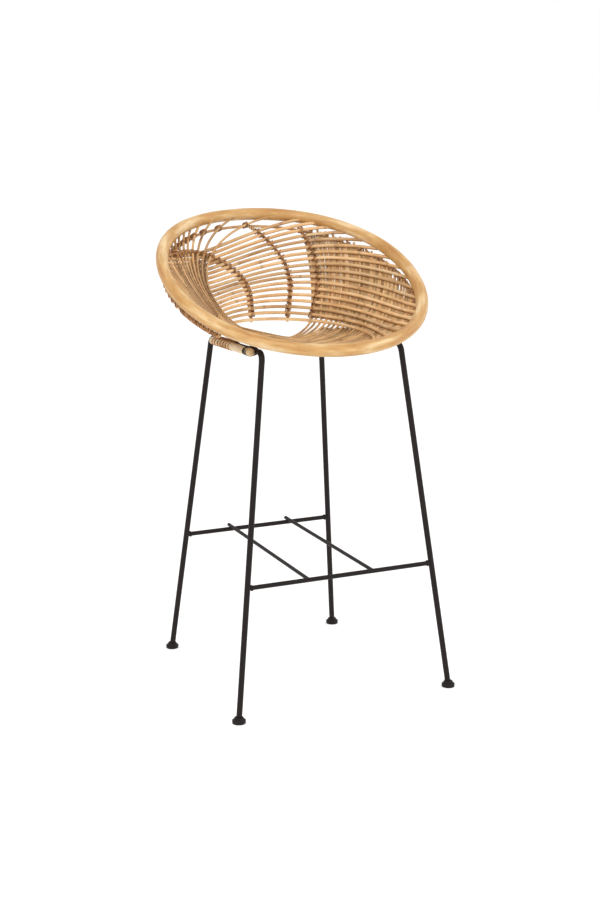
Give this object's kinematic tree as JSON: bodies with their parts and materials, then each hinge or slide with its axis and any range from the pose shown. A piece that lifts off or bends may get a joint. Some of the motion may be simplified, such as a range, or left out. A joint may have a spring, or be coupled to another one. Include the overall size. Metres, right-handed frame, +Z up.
{
  "type": "bar stool",
  "caption": "Bar stool with a round open rattan bucket seat on four slim splayed steel legs joined by a footrest frame.",
  "frame": {"origin": "on the floor, below the middle of the stool's overall box", "axes": "+Z up, the low open front of the seat faces -Y, +X to the right seen from the front"},
  "size_m": [0.5788, 0.5358, 0.9802],
  "materials": {
    "steel": "satin powder coat, dark brown black",
    "foot_pad": "matt dark plastic",
    "rim_rattan": "clear satin on golden rattan pole",
    "rattan_rod": "clear satin on peeled rattan rod",
    "pale_rattan": "clear satin on pale rattan pole",
    "cane_lashing": "waxed dark cane strip"
  },
  "bodies": {
    "root": {"side_frame_left": "steel", "side_frame_right": "steel", "front_rail": "steel", "rear_rail": "steel", "crossbar_left": "steel", "crossbar_right": "steel", "foot_cap_front_left": "steel", "foot_cap_front_right": "steel", "foot_cap_rear_left": "steel", "foot_cap_rear_right": "steel", "foot_pad_front_left": "foot_pad", "foot_pad_front_right": "foot_pad", "foot_pad_rear_left": "foot_pad", "foot_pad_rear_right": "foot_pad", "seat_pole_left": "pale_rattan", "seat_pole_right": "pale_rattan", "pole_lashings_left": "cane_lashing", "pole_lashings_right": "cane_lashing", "rim_hoop": "rim_rattan", "rim_band": "rattan_rod", "seat_ring": "rattan_rod", "back_hoop_01": "rattan_rod", "back_hoop_02": "rattan_rod", "back_hoop_03": "rattan_rod", "back_hoop_04": "rattan_rod", "back_hoop_05": "rattan_rod", "back_hoop_06": "rattan_rod", "back_hoop_07": "rattan_rod", "back_hoop_08": "rattan_rod", "back_hoop_09": "rattan_rod", "back_hoop_10": "rattan_rod", "back_hoop_11": "rattan_rod", "back_hoop_12": "rattan_rod", "back_hoop_13": "rattan_rod", "back_hoop_14": "rattan_rod", "back_hoop_15": "rattan_rod", "back_hoop_16": "rattan_rod", "back_hoop_17": "rattan_rod", "back_rib_left": "rattan_rod", "back_rib_centre": "rattan_rod", "back_rib_right": "rattan_rod", "seat_rods_rear": "rattan_rod", "seat_rods_mid_rear": "rattan_rod", "seat_rods_mid_front": "rattan_rod", "seat_rods_front": "rattan_rod", "wall_stakes_left": "rattan_rod", "wall_stakes_right": "rattan_rod"}
  },
  "joints": []
}
